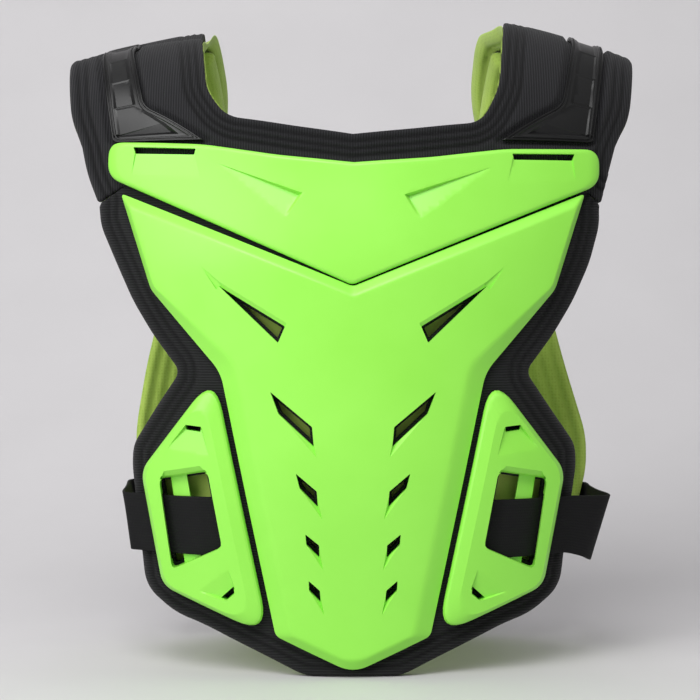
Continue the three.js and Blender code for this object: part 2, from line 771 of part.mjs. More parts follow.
addPiece('front_pad', frontPanel(), knit);
addPiece('front_lining', panel(liningLoop(FRONT_OUTLINE), LINING, onForm, FACET), mesh);
addPiece('upper_pad', shoulderPanel(), knit);
addPiece('upper_lining', panel(upperLoop, LINING, overArm, FACET, ARCH_STRETCH), mesh);
addPiece('back_pad', panel(backLoop, PAD, toBack, BACK_FACET), knit);
addPiece('back_lining', panel(liningLoop(BACK_OUTLINE), LINING, toBack, BACK_FACET), mesh);
addPiece('chest_yoke', chestYoke(), lime);
addPiece('chest_plate', chestPlate(), lime);
const sides = [
  { name: 'left', side: 1, free: STRAP_FREE_LEFT, onBack: STRAP_BACK_LEFT, raise: 0 },
  { name: 'right', side: -1, free: STRAP_FREE_RIGHT, onBack: STRAP_BACK_RIGHT, raise: STRAP_RAISE_RIGHT },
];
sides.forEach(({ name, side, free, onBack, raise }) => {
  addPiece(`side_frame_${name}`, sideFrame(side), lime);
  addPiece(`shoulder_guard_${name}`, shoulderGuard(side), guardBlack);
  addPiece(`waist_strap_${name}`, webbingStrap(side, free, onBack, raise), webbing);
});

// Origin at the middle of the base
const box = new THREE.Box3().setFromObject(vest);
const middle = box.getCenter(new THREE.Vector3());
vest.children.forEach((piece) => piece.geometry.translate(-middle.x, -middle.y, -box.min.z));

export default vest;
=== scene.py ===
"""Looks of a padded chest protector vest: green plates on black knit panels with a green mesh lining."""

import math
from collections import namedtuple

import bmesh
import bpy
import numpy as np
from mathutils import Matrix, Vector, noise


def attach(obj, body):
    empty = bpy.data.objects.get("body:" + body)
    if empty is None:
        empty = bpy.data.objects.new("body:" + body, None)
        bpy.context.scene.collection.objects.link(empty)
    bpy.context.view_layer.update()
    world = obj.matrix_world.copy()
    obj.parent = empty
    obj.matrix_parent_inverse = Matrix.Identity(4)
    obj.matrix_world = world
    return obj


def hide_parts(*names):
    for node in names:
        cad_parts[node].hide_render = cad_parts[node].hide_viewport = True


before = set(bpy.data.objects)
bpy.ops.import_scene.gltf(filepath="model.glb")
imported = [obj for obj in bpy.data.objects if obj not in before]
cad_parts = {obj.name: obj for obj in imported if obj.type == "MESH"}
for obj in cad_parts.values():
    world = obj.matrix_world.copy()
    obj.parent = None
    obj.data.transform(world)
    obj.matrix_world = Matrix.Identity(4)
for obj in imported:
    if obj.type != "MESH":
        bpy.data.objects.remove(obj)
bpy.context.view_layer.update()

# Pieces are shaped flat, in millimetres: x across, y up along the body, z out from it.
# They are then bent round the body's form, in metres. Left is the wearer's left, +X.
MM = 0.001

# Form of the wearer's body
RIDGE_HEIGHT = 473
ARCH_RADIUS = 92
ARCH_START = RIDGE_HEIGHT - ARCH_RADIUS
RIDGE = ARCH_START + ARCH_RADIUS * math.pi / 2
SHOULDER_ROUND = 700
FORM_ASIDE, FORM_BACK = 0.95, 4.359
Section = namedtuple("Section", "height forward round")
FORM_SECTIONS = [
    Section(386, 0, 420),
    Section(285, 10, 330),
    Section(160, 12, 265),
    Section(0, 2, 245),
]
ARM_LIFT = 13
ARM_LIFT_START = 4
ARM_LIFT_RUN = 38
ARM_STANCE = 6
STANCE_FROM_X, STANCE_FROM_UP = 115, 395
STANCE_RUN_X, STANCE_RUN_UP = 115, 100
STANCE_FADE = 32
YOKE_ROLL = math.radians(0.9)
YOKE_ROLL_UP = 325

# Layers, measured outward from the form
LINING_FROM, LINING_TO = 0, 1.6
PAD_FROM, PAD_TO = 2.2, 11.2
SEAT = 12.1
PLATE_WALL, PLATE_RISE = 3, 5
YOKE_RISE = 3
FRAME_WALL, FRAME_RISE = 5, 6
BAR_TOP, BAR_DEPTH = 2.2, 3
GUARD_SEAT = 8.6
GUARD_WALL = 2
GUARD_POCKET = 7.7
GUARD_MARGIN = 1

# Half outlines run from the middle top, round the left side, to the middle bottom.
# round: how far from the corner its rounding starts; slope: width of the border after the corner;
# other: the corner on the other half, where the soft panels are uneven.
# The back panel is drawn as seen from behind, so its table is the wearer's right.
Corner = namedtuple("Corner", "x up round slope other", defaults=(0, 0, None))


def corners(*rows):
    return [Corner(*row) for row in rows]


FRONT_OUTLINE = corners(
    (0, 311.7), (165, 351.7, 4), (180.3, 338.2, 3, 0, (186.3, 338.6)), (180.5, 323, 9, 0, (185, 323)),
    (173, 296, 9), (160, 268, 9), (144.5, 243, 9), (124.5, 217, 7), (142, 192, 9),
    (163, 163, 9, 0, (161, 163)), (164, 148, 7, 0, (162, 148)), (156, 93, 12), (152.5, 58, 12),
    (130, 41, 12), (108, 34, 9), (60, 12.5, 12), (34, 0, 8),
)
UPPER_OUTLINE = corners(
    (0, 385.5), (43, 389.5, 9, 0, (43, 391.5)), (92, 395.5, 11, 0, (91, 400)), (105.5, 423, 12),
    (114.5, RIDGE - 10, 20), (98, RIDGE + 44, 16, 0, (106, RIDGE + 45)),
    (96, RIDGE + 95, 16, 0, (101, RIDGE + 95)), (106, RIDGE + 138, 12), (184, RIDGE + 138, 12),
    (202, RIDGE + 90, 16), (213.5, RIDGE + 10, 16, 0, (215.3, RIDGE + 10)),
    (204, 424, 16, 0, (208, 424)), (190.5, 373, 12, 0, (195.5, 361)), (181, 338.8, 3, 0, (187, 339.8)),
    (165.5, 351.9, 4), (0, 311.9),
)
BACK_OUTLINE = corners(
    (0, 379), (88, 384, 14), (102, 412, 12), (110, 487, 8), (168, 487, 10), (180, 430, 14), (183, 372, 14),
    (170, 325, 14), (152, 272, 14, 0, (155, 272)), (163.5, 218, 14, 0, (168, 218)),
    (170.5, 170, 12, 0, (182.5, 164)), (170.5, 140, 10, 0, (182.5, 138)), (158, 72, 14, 0, (167, 72)),
    (142, 45, 12, 0, (146, 45)), (86, 22, 12), (34, 0, 8),
)
YOKE_OUTLINE = corners(
    (0, 365.3, 0, 3), (54, 370, 9, 3), (108, 377.6, 9, 3), (178, 380.5, 12, 8), (178.6, 355, 10, 3),
    (0, 278.6, 3.5, 3),
)
PLATE_OUTLINE = corners(
    (0, 277.6, 3), (168, 345.6, 4), (145.3, 276, 4), (94, 217, 9), (55, 29.5, 4), (0, 4, 12),
)
PLATE_CROWN = corners(
    (0, 270.6, 3), (161.7, 336, 4), (142.6, 277.6, 4), (82.9, 222.5, 9), (43.1, 31.1, 4), (0, 11.2, 12),
)
FRAME_OUTLINE = corners((98.3, 215.8, 27, 3), (153.5, 145.2, 9, 3), (138, 62, 9, 3), (59.5, 29.8, 26, 10))
GUARD_OUTLINE = corners(
    (106, 382.5, 2, 1), (151, 415, 9, 1), (163, 486, 9, 1), (164, RIDGE + 24, 5, 1),
    (190, RIDGE + 24, 5, 1), (187, 486, 9, 1), (175, 383.5, 5, 1),
)

# On the left half. Openings have corners x, up; recesses have corners x, up and depth under the face.
# tip: where the scoop beside a vent runs out
Vent = namedtuple("Vent", "corners tip", defaults=(None,))
VENTS = [
    Vent([(94.8, 278), (47.7, 249.4), (52.7, 237.9)]),
    Vent([(58.2, 203.6), (28.7, 179.1), (27.5, 165.1), (52.3, 188)], (25.5, 157.5)),
    Vent([(40.1, 146.4), (25.4, 134), (24.7, 122.6), (37.5, 135.9)], (21.5, 113.9)),
    Vent([(33.5, 103.6), (23.8, 95.8), (23.7, 86.7), (32.9, 96.1)], (20.9, 77.9)),
    Vent([(31.3, 70.5), (23.3, 63.5), (22.9, 54.9), (31, 63.4)], (20.2, 45.9)),
]
VENT_SCOOP = 3
VENT_MARGIN = -2
VENT_CHAMFER = [(94.8, 278, 1.6), (47.7, 249.4, 1.6), (46.4, 251.8, 0), (94, 280.8, 0)]
VENT_GROOVE = [(92.5, 279.4, 1.5), (96.6, 275.6, 1.5), (107.5, 292, 0)]
YOKE_SLOT = [(112.7, 374.3), (159, 376), (157.2, 371.2), (114, 370)]
YOKE_RAMP = [(113.2, 371.5, 1.3), (157.6, 372.5, 1.3), (160, 356, 0), (109.5, 353.5, 0)]
YOKE_TRIANGLE = [(98, 364), (38.5, 342), (48.3, 326.4)]
YOKE_RECESS = 4.2
FRAME_WINDOW = [(102.9, 146.5), (139.1, 140), (129.9, 75.2), (92.8, 92.8)]
FRAME_SLOTS = [
    [(107.6, 178.4), (119.4, 179.6), (118.6, 176), (108.4, 174.6)],
    [(84.7, 65), (94, 56.4), (89.6, 55), (84, 60)],
]
FRAME_RAMPS = [
    [(107.8, 176.5, 2.8), (119.2, 177.8, 2.8), (132, 162, 0), (102, 157.5, 0)],
    [(84.5, 63.5, 2.8), (92.5, 56, 2.8), (110, 61, 0), (88.5, 77.5, 0)],
]
FRAME_LIP = [
    [(103.8, 145.9, 4), (138, 139.8, 4), (135.1, 146, 0), (108.7, 150.7, 0)],
    [(103.3, 146, 7), (138.5, 139.7, 7), (137.4, 142.3, 1.4), (105.2, 148.1, 1.4)],
]
FRAME_BAR = [(119.7, 147), (131.7, 144.8), (120.6, 76), (108.6, 81.6)]
WINDOW_ROUND, SLOT_ROUND = 4, 0.6

# The guards' ridged border: distance in from the rim, height over the seat
GUARD_BORDER = [
    (0.3, 2.7), (0.7, 3.2), (1.3, 3.2), (1.7, 2.5), (2.2, 2.5), (2.6, 3.2), (3.3, 3.2), (3.8, 2.6),
    (4.3, 2.5),
]
GUARD_PANELS = [
    [(168.7, 390.5, 1.3), (131, 390.5, 2.1), (139, 398, 1.1)],
    [(169, 391.5, 1.1), (139, 398, 1.1), (160, 416.5, 0.5), (172, 416.5, 0.5)],
    [(172.5, 421, 2), (160.5, 421, 2), (164.8, 446.5, 0.5), (175.6, 446.5, 0.5)],
    [(176, 451, 2), (165.3, 451, 2), (169.3, 477.5, 0.5), (179.3, 477.5, 0.5)],
    [(179.7, 482, 2), (170, 482, 2), (171.5, RIDGE + 17, 0.5), (182.8, RIDGE + 17, 0.5)],
]

# How much wider than its floor a recess is at the face
GUARD_FLARE = 3
YOKE_FLARE = 2
RAMP_FLARE = 1.2

# Widths of the rounded edges
PLATE_EDGE = 0.7
YOKE_EDGE = 0.6
FRAME_EDGE = 0.9
BAR_EDGE = 2.2
GUARD_EDGE = 0.2

# Waist straps: stations on the panels have x and out, those on the free run x and y.
# lean: how far the upper edge stands out past the middle; sag: how far the strap hangs.
STRAP_WIDTH = 42
STRAP_THICKNESS = 2
STRAP_MIDDLE = 105
STRAP_SLACK = 2.8
TUNNEL_HEIGHT = 5.4
TUNNEL_LEAN = 3.2
TUNNELS = [(85, 116), (122, 160)]
OnPanel = namedtuple("OnPanel", "x out lean", defaults=(0,))
Free = namedtuple("Free", "x y sag lean")
STRAP_FRONT = [
    OnPanel(86, 13.6, 3.2), OnPanel(95, 13.7, 3.2), OnPanel(104, 14.8, 3.2), OnPanel(111, 16, 3.2),
    OnPanel(126, 16, 3.2), OnPanel(132, 14.8, 3.2), OnPanel(138, 13.8, 3.2), OnPanel(147, 13.7, 2.6),
    OnPanel(157, 13.8, 2),
]
STRAP_FREE_LEFT = [
    Free(169, -58, 2, 2), Free(178, -50, 4, 5), Free(183, -41, 5, 7), Free(184, -30, 4, 7),
    Free(182, -8, 2, 4), Free(182, 20, 1, 2), Free(183, 38, 0, 1), Free(181.5, 48, 0, 1),
]
STRAP_FREE_RIGHT = [
    Free(164, -60, 0, 2.5), Free(165.5, -52, 0, 3.5), Free(166, -40, 0, 4.5), Free(167, -12, 0, 5),
    Free(169, 14, 0, 5), Free(171, 36, 0, 5), Free(171, 50, 0, 4.5),
]
STRAP_BACK_LEFT = [
    OnPanel(174, 14), OnPanel(165, 13.4), OnPanel(150, 13), OnPanel(134, 13), OnPanel(122, 13),
]
STRAP_BACK_RIGHT = [
    OnPanel(163, 14.8, 4), OnPanel(154, 13.6, 2), OnPanel(142, 13), OnPanel(130, 13), OnPanel(120, 13),
]
STRAP_RAISE_RIGHT = 2
SAG_LOWER, SAG_UPPER = 1.6, 0.4
STRAP_EDGE = 0.7


# The form


def ease(t):
    k = np.clip(t, 0, 1)
    return k * k * (3 - 2 * k)


def mix(a, b, t):
    return a + (b - a) * t


def fall_back(x, radius):
    """How far a circle of that radius falls back at x, and its slope there"""
    depth = np.sqrt(radius * radius - x * x)
    return radius - depth, x / depth


def body_point(x, up, out):
    """Points at x, at a height along the form and a distance out from it, in millimetres"""
    forward = np.zeros_like(up)
    bend = np.full_like(up, 1 / FORM_SECTIONS[0].round)
    for above, below in zip(FORM_SECTIONS, FORM_SECTIONS[1:]):
        t = ease((above.height - up) / (above.height - below.height))
        here = up <= above.height
        forward = np.where(here, mix(above.forward, below.forward, t), forward)
        bend = np.where(here, mix(1 / above.round, 1 / below.round, t), bend)
    fall, slope = fall_back(x, 1 / bend)
    front = -ARCH_RADIUS - forward - out * np.hypot(1, slope) + fall
    angle = (RIDGE - up) / ARCH_RADIUS
    top = np.cos(angle) ** 2
    side, crown = fall_back(x, FORM_SECTIONS[0].round), fall_back(x, SHOULDER_ROUND)
    reach = ARCH_RADIUS + out * np.hypot(1, mix(side[1], crown[1], top)) - mix(side[0], crown[0], top)
    arched = up > ARCH_START
    y = np.where(arched, -np.sin(angle) * reach, front)
    z = np.where(arched, ARCH_START + np.cos(angle) * reach, up)
    return np.stack([x, y, z], 1)


def in_frame(points):
    return (points + (FORM_ASIDE, FORM_BACK, 0)) * MM


def on_front(x, up, out):
    return in_frame(body_point(x, up, out))


def on_arms(x, up, out):
    lift = ARM_LIFT * ease((up - RIDGE - ARM_LIFT_START) / ARM_LIFT_RUN)
    points = body_point(x, up, out + lift)
    beside = 1 - np.clip((np.abs(x) - STANCE_FROM_X) / STANCE_RUN_X, 0, 1)
    raised = ease((up - STANCE_FROM_UP) / STANCE_RUN_UP) * (1 - ease((up - RIDGE) / STANCE_FADE))
    points[:, 2] += ARM_STANCE * np.sign(x) * beside * raised
    return in_frame(points)


def on_yoke_seat(x, up, out):
    """The yoke sits a little askew, lower on the wearer's left"""
    rise = up - YOKE_ROLL_UP
    across = x * math.cos(YOKE_ROLL) + rise * math.sin(YOKE_ROLL)
    return on_front(across, YOKE_ROLL_UP + rise * math.cos(YOKE_ROLL) - x * math.sin(YOKE_ROLL), out)


def on_back(x, up, out):
    return in_frame(body_point(x, up, out) * (-1, -1, 1))


# Outlines

# Sine of the turn below which two edges count as one line, and the most of an edge that a rounding takes
NEARLY_STRAIGHT = 0.02
EDGE_SHARE = 0.45


def whole(half):
    """Whole outline of a piece from its half table"""
    mirror = []
    for i in reversed(range(len(half))):
        if half[i].x > 0:
            x, up = half[i].other or half[i][:2]
            mirror.append(half[i]._replace(x=-x, up=up, slope=half[max(i - 1, 0)].slope))
    return half + mirror


def inset(rows, share):
    """Outline with every edge moved inward by a share of its own slope"""
    points = [Vector((row.x, row.up)) for row in rows]
    pairs = list(zip(points, points[1:] + points[:1]))
    turn = math.copysign(share, sum(point.cross(after) for point, after in pairs))
    edges = []
    for (point, after), row in zip(pairs, rows):
        along = (after - point).normalized()
        edges.append((point + Vector((-along.y, along.x)) * row.slope * turn, along))
    moved = []
    for i, row in enumerate(rows):
        (start, before), (end, after) = edges[i - 1], edges[i]
        cross = before.x * after.y - before.y * after.x
        gap = end - start
        spot = end
        if abs(cross) > NEARLY_STRAIGHT:
            spot = start + before * ((gap.x * after.y - gap.y * after.x) / cross)
        moved.append(row._replace(x=spot.x, up=spot.y))
    return moved


def rounded(rows, steps=8):
    """Loop of points with every corner rounded"""
    loop = []
    for i, row in enumerate(rows):
        corner = Vector((row.x, row.up))
        if not row.round:
            loop.append(corner)
            continue
        back = Vector((rows[i - 1].x, rows[i - 1].up)) - corner
        ahead = Vector((rows[(i + 1) % len(rows)].x, rows[(i + 1) % len(rows)].up)) - corner
        reach = min(row.round, EDGE_SHARE * back.length, EDGE_SHARE * ahead.length)
        start, end = corner + back.normalized() * reach, corner + ahead.normalized() * reach
        for k in range(steps + 1):
            t = k / steps
            loop.append(start.lerp(corner, t).lerp(corner.lerp(end, t), t))
    return loop


def between(rows, crown, share):
    """Outline a share of the way from the rim of a plate to its crown"""
    return [row._replace(x=mix(row.x, top.x, share), up=mix(row.up, top.up, share))
            for row, top in zip(rows, crown)]


def grown(points, margin):
    """Opening widened all round"""
    rows = [Corner(x, up, 0, -margin) for x, up in points]
    return [(row.x, row.up) for row in inset(rows, 1)]


def inside(points, loop):
    """Which flat points lie within a loop"""
    within = np.zeros(len(points), bool)
    x, y = points.T
    for start, end in zip(loop, loop[1:] + loop[:1]):
        spans = (start.y > y) != (end.y > y)
        slope = (end.x - start.x) / (end.y - start.y or 1)
        within ^= spans & (x < start.x + (y - start.y) * slope)
    return within


def rim_distance(points, edges):
    """Distance of flat points from the edges of an outline"""
    best = np.full(len(points), 1e9)
    for start, end in edges:
        start, along = np.array(start), np.array(end - start)
        t = np.clip((points - start) @ along / (along @ along), 0, 1)
        best = np.minimum(best, np.linalg.norm(points - start - t[:, None] * along, axis=1))
    return best


# Modelling

# How far cutters and wedges reach past a face
PAST, WEDGE_PAST = 2, 0.6

# Where a recess runs out its floor stays this far over the face
CLEAR = 0.02

# Points nearer than this become one
WELD = 0.01


def deselect():
    if bpy.context.mode != "OBJECT":
        bpy.ops.object.mode_set(mode="OBJECT")
    bpy.ops.object.select_all(action="DESELECT")


def edit(piece):
    """Opens a piece for editing with all of it selected"""
    deselect()
    piece.select_set(True)
    bpy.context.view_layer.objects.active = piece
    bpy.ops.object.mode_set(mode="EDIT")
    bpy.ops.mesh.select_all(action="SELECT")


def close_edit():
    bpy.ops.object.mode_set(mode="OBJECT")


def with_modifier(piece, kind, **settings):
    """Adds a modifier and applies it"""
    modifier = piece.modifiers.new(kind, kind)
    for name, value in settings.items():
        setattr(modifier, name, value)
    deselect()
    piece.select_set(True)
    bpy.context.view_layer.objects.active = piece
    bpy.ops.object.modifier_apply(modifier=modifier.name)


def add_face(name, loop, out):
    """Flat face with its corners on the loop"""
    deselect()
    bpy.ops.mesh.primitive_circle_add(vertices=len(loop), fill_type="NGON")
    piece = bpy.context.object
    piece.name = piece.data.name = name
    for vertex, (x, up) in zip(piece.data.vertices, loop):
        vertex.co = (x, up, out)
    return piece


def loft(name, levels):
    """Closed body extruded through level loops of equal point count"""
    piece = add_face(name, *levels[0])
    edit(piece)
    for (below, low), (above, high) in zip(levels, levels[1:]):
        bpy.ops.mesh.extrude_region_move(TRANSFORM_OT_translate={"value": (0, 0, high - low)})
        mesh = bmesh.from_edit_mesh(piece.data)
        places = np.array(below)
        for vertex in mesh.verts:
            if vertex.select:
                nearest = np.argmin(np.linalg.norm(places - vertex.co.xy, axis=1))
                vertex.co.xy = above[nearest]
        bmesh.update_edit_mesh(piece.data)
    bpy.ops.mesh.select_all(action="SELECT")
    bpy.ops.mesh.normals_make_consistent(inside=False)
    close_edit()
    return piece


def cutter(points, low, high, rounding=0.8):
    """Upright tool with the outline of an opening"""
    loop = rounded([Corner(x, up, rounding) for x, up in points], 3)
    return loft("cutter", [(loop, low), (loop, high)])


def wedge(points, face, flare=0):
    """Cutter whose floor lies at its own depth under the face at each corner: x, up, depth"""
    loop = [Vector((x, up)) for x, up, depth in points]
    wide = [Vector(spot) for spot in grown([(x, up) for x, up, depth in points], flare)]
    tool = loft("wedge", [(loop, 0), (wide, face + WEDGE_PAST)])
    floors = {(round(x, 3), round(up, 3)): face + CLEAR - depth for x, up, depth in points}
    for vertex in tool.data.vertices:
        if vertex.co.z < face / 2:
            vertex.co.z = floors[(round(vertex.co.x, 3), round(vertex.co.y, 3))]
    return tool


def cut(piece, tools):
    for tool in tools:
        with_modifier(piece, "BOOLEAN", operation="DIFFERENCE", solver="EXACT", object=tool)
        bpy.data.objects.remove(tool)


def soften(piece, width, angle=30, segments=3):
    """Rounds every edge sharper than the angle"""
    with_modifier(piece, "BEVEL", width=width, segments=segments, limit_method="ANGLE",
                  angle_limit=math.radians(angle), miter_outer="MITER_ARC")


def flat_points(piece):
    co = np.empty(len(piece.data.vertices) * 3)
    piece.data.vertices.foreach_get("co", co)
    return co.reshape(-1, 3)


def set_points(piece, points):
    piece.data.vertices.foreach_set("co", np.ascontiguousarray(points).ravel())
    piece.data.update()


def slice_grid(piece, pitch):
    """Cuts the flat piece across both ways, so that it can bend"""
    points = flat_points(piece)
    edit(piece)
    for axis in (0, 1):
        first = math.ceil(points[:, axis].min() / pitch)
        last = math.floor(points[:, axis].max() / pitch)
        for k in range(first, last + 1):
            place, across = Vector((0, 0, 0)), Vector((0, 0, 0))
            place[axis], across[axis] = k * pitch, 1
            bpy.ops.mesh.select_all(action="SELECT")
            bpy.ops.mesh.bisect(plane_co=place, plane_no=across, threshold=WELD)
    bpy.ops.mesh.select_all(action="SELECT")
    bpy.ops.mesh.remove_doubles(threshold=WELD)
    close_edit()


def mirrored_copy(piece, name):
    """Copy on the other side, with its own mesh"""
    deselect()
    twin = piece.copy()
    twin.data = piece.data.copy()
    twin.name = twin.data.name = name
    bpy.context.collection.objects.link(twin)
    edit(twin)
    bpy.ops.transform.resize(value=(-1, 1, 1), center_override=(0, 0, 0))
    bpy.ops.mesh.flip_normals()
    close_edit()
    return twin


def wrap(piece, place):
    """Bends the flat piece round the form and keeps its flat places for its patterns"""
    flat = flat_points(piece)
    kept = piece.data.attributes.new("flat", "FLOAT_VECTOR", "POINT")
    kept.data.foreach_set("vector", np.ascontiguousarray(flat * MM).ravel())
    set_points(piece, place(*flat.T))


def dress(piece, node, material):
    """Gives a finished piece its surface and its place on the part"""
    deselect()
    piece.select_set(True)
    bpy.context.view_layer.objects.active = piece
    bpy.ops.object.shade_smooth()
    piece.data.materials.clear()
    piece.data.materials.append(material)
    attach(piece, "root")
    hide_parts(node)


# Materials


def linear(code):
    """sRGB hex to linear colour"""
    parts = [int(code[i:i + 2], 16) / 255 for i in (0, 2, 4)]
    return [p / 12.92 if p <= 0.04045 else ((p + 0.055) / 1.055) ** 2.4 for p in parts] + [1]


def add_node(material, kind, inputs=None, **settings):
    """Adds a node with its settings; an input is a value or another node's output"""
    node = material.node_tree.nodes.new(kind)
    for name, value in settings.items():
        setattr(node, name, value)
    for name, value in (inputs or {}).items():
        if isinstance(value, bpy.types.NodeSocket):
            material.node_tree.links.new(value, node.inputs[name])
        else:
            node.inputs[name].default_value = value
    return node


def new_material(name):
    material = bpy.data.materials.new(name)
    material.use_nodes = True
    material.node_tree.nodes.clear()
    return material


def show(material, shader):
    add_node(material, "ShaderNodeOutputMaterial", {"Surface": shader.outputs["BSDF"]})
    return material


def band_scale(pitch):
    """Scale of a wave texture, which draws the sine of 20 times its place, for a pitch in millimetres"""
    return 2 * math.pi / (20 * pitch * MM)


def moulded_plastic(name, dark, light, roughness):
    """Polypropylene, injection moulded in a blasted tool: satin, with a faint grain and soft cloudiness"""
    # The real grain is finer and is drawn coarse enough to show
    grain_size = 0.9
    grain_relief = 0.2
    cloud_size = 45
    material = new_material(name)
    spot = add_node(material, "ShaderNodeTexCoord").outputs["Object"]
    cloud = add_node(material, "ShaderNodeTexNoise", {
        "Vector": spot, "Scale": 1 / (cloud_size * MM), "Detail": 3})
    tint = add_node(material, "ShaderNodeMix", {
        "Factor": cloud.outputs["Fac"], "A": linear(dark), "B": linear(light)}, data_type="RGBA")
    grain = add_node(material, "ShaderNodeTexNoise", {
        "Vector": spot, "Scale": 1 / (grain_size * MM), "Detail": 2})
    gloss = add_node(material, "ShaderNodeMapRange", {
        "Value": cloud.outputs["Fac"], "From Min": 0.3, "From Max": 0.7,
        "To Min": roughness - 0.04, "To Max": roughness + 0.05})
    bump = add_node(material, "ShaderNodeBump", {
        "Height": grain.outputs["Fac"], "Strength": 0.12, "Distance": grain_relief * MM})
    return show(material, add_node(material, "ShaderNodeBsdfPrincipled", {
        "Base Color": tint.outputs["Result"], "Roughness": gloss.outputs["Result"], "IOR": 1.49,
        "Normal": bump.outputs["Normal"]}))


def rib_knit(name, dark, light, across):
    """Polyester rib knit laminated on foam: fine raised ribs with a soft nap, and painted shade that
    darkens it in its sewn channels
    """
    rib_pitch = 1.9
    rib_relief = 0.8
    # The real nap is finer and is drawn coarse enough to show
    nap_size = 1.3
    worn_size = 35
    material = new_material(name)
    spot = add_node(material, "ShaderNodeAttribute", attribute_name="flat").outputs["Vector"]
    ribs = add_node(material, "ShaderNodeTexWave", {
        "Vector": spot, "Scale": band_scale(rib_pitch), "Distortion": 0.5,
        "Detail": 2, "Detail Scale": 0.6}, bands_direction=across)
    nap = add_node(material, "ShaderNodeTexNoise", {
        "Vector": spot, "Scale": 1 / (nap_size * MM), "Detail": 3})
    worn = add_node(material, "ShaderNodeTexNoise", {
        "Vector": spot, "Scale": 1 / (worn_size * MM), "Detail": 4})
    height = add_node(material, "ShaderNodeMix", {
        "Factor": 0.2, "A": ribs.outputs["Fac"], "B": nap.outputs["Fac"]})
    shade = add_node(material, "ShaderNodeMix", {
        "Factor": 0.2, "A": height.outputs["Result"], "B": worn.outputs["Fac"]})
    tint = add_node(material, "ShaderNodeMix", {
        "Factor": shade.outputs["Result"], "A": linear(dark), "B": linear(light)}, data_type="RGBA")
    # Painted shade: the sewn channels are darkened towards the knit's dark colour by their depth
    groove_shade = add_node(material, "ShaderNodeAttribute", attribute_name="groove_shade").outputs["Fac"]
    groove_shaded = add_node(material, "ShaderNodeMix", {
        "Factor": groove_shade, "A": tint.outputs["Result"], "B": linear(dark)}, data_type="RGBA")
    bump = add_node(material, "ShaderNodeBump", {
        "Height": height.outputs["Result"], "Strength": 0.6, "Distance": rib_relief * MM})
    return show(material, add_node(material, "ShaderNodeBsdfPrincipled", {
        "Base Color": groove_shaded.outputs["Result"], "Roughness": 0.92, "Specular IOR Level": 0.3,
        "Sheen Weight": 0.06, "Sheen Roughness": 0.5, "Normal": bump.outputs["Normal"]}))


def warp_mesh(name, dark, light):
    """Polyester warp-knit mesh, brushed: a close net of small holes"""
    # The real holes are finer and are drawn coarse enough to show
    hole_pitch = 2.4
    thread_relief = 0.4
    worn_size = 25
    material = new_material(name)
    spot = add_node(material, "ShaderNodeAttribute", attribute_name="flat").outputs["Vector"]
    net = add_node(material, "ShaderNodeTexVoronoi", {
        "Vector": spot, "Scale": 1 / (hole_pitch * MM), "Randomness": 0.25})
    worn = add_node(material, "ShaderNodeTexNoise", {
        "Vector": spot, "Scale": 1 / (worn_size * MM), "Detail": 3})
    thread = add_node(material, "ShaderNodeMapRange", {
        "Value": net.outputs["Distance"], "From Min": 0.05, "From Max": 0.5})
    shade = add_node(material, "ShaderNodeMix", {
        "Factor": 0.6, "A": thread.outputs["Result"], "B": worn.outputs["Fac"]})
    tint = add_node(material, "ShaderNodeMix", {
        "Factor": shade.outputs["Result"], "A": linear(dark), "B": linear(light)}, data_type="RGBA")
    bump = add_node(material, "ShaderNodeBump", {
        "Height": thread.outputs["Result"], "Strength": 0.25, "Distance": thread_relief * MM})
    return show(material, add_node(material, "ShaderNodeBsdfPrincipled", {
        "Base Color": tint.outputs["Result"], "Roughness": 0.85, "Sheen Weight": 0.2,
        "Normal": bump.outputs["Normal"]}))


def elastic_webbing(name, dark, light):
    """Elastic webbing, woven polyester over rubber: close ribs along its length, crossed by the weft"""
    # The real weave is finer and is drawn coarse enough to show
    warp_pitch = 2.0
    weft_pitch = 1.4
    weave_relief = 0.4
    material = new_material(name)
    spot = add_node(material, "ShaderNodeAttribute", attribute_name="flat").outputs["Vector"]
    warp = add_node(material, "ShaderNodeTexWave", {
        "Vector": spot, "Scale": band_scale(warp_pitch)}, bands_direction="Y")
    weft = add_node(material, "ShaderNodeTexWave", {
        "Vector": spot, "Scale": band_scale(weft_pitch), "Distortion": 0.4}, bands_direction="X")
    height = add_node(material, "ShaderNodeMix", {
        "Factor": 0.45, "A": warp.outputs["Fac"], "B": weft.outputs["Fac"]})
    tint = add_node(material, "ShaderNodeMix", {
        "Factor": height.outputs["Result"], "A": linear(dark), "B": linear(light)}, data_type="RGBA")
    bump = add_node(material, "ShaderNodeBump", {
        "Height": height.outputs["Result"], "Strength": 0.4, "Distance": weave_relief * MM})
    return show(material, add_node(material, "ShaderNodeBsdfPrincipled", {
        "Base Color": tint.outputs["Result"], "Roughness": 0.85, "Specular IOR Level": 0.3,
        "Normal": bump.outputs["Normal"]}))


def painted_floor(name, dark, light):
    """Matt painted board: even and pale, with a faint mottle, six patches to the metre"""
    mottle_size = 1000 / 6
    material = new_material(name)
    spot = add_node(material, "ShaderNodeTexCoord").outputs["Object"]
    mottle = add_node(material, "ShaderNodeTexNoise", {
        "Vector": spot, "Scale": 1 / (mottle_size * MM), "Detail": 4})
    tint = add_node(material, "ShaderNodeMix", {
        "Factor": mottle.outputs["Fac"], "A": linear(dark), "B": linear(light)}, data_type="RGBA")
    return show(material, add_node(material, "ShaderNodeBsdfPrincipled", {
        "Base Color": tint.outputs["Result"], "Roughness": 0.7}))


LIME = moulded_plastic("lime moulded polypropylene", "8fe34a", "98ea54", 0.37)
GUARD_BLACK = moulded_plastic("black moulded polypropylene", "060607", "0a0a0b", 0.4)
KNIT_UPRIGHT = rib_knit("black rib knit upright", "060607", "29292c", "X")
# The level knit's light colour is a little darker than the upright knit's, as painted shade on the front
# panel
KNIT_LEVEL = rib_knit("black rib knit level", "060607", "262628", "Y")
LINING_MESH = warp_mesh("green warp knit mesh", "8aa83c", "b4cf62")
WEBBING = elastic_webbing("black elastic webbing", "060607", "101012")


# Plates

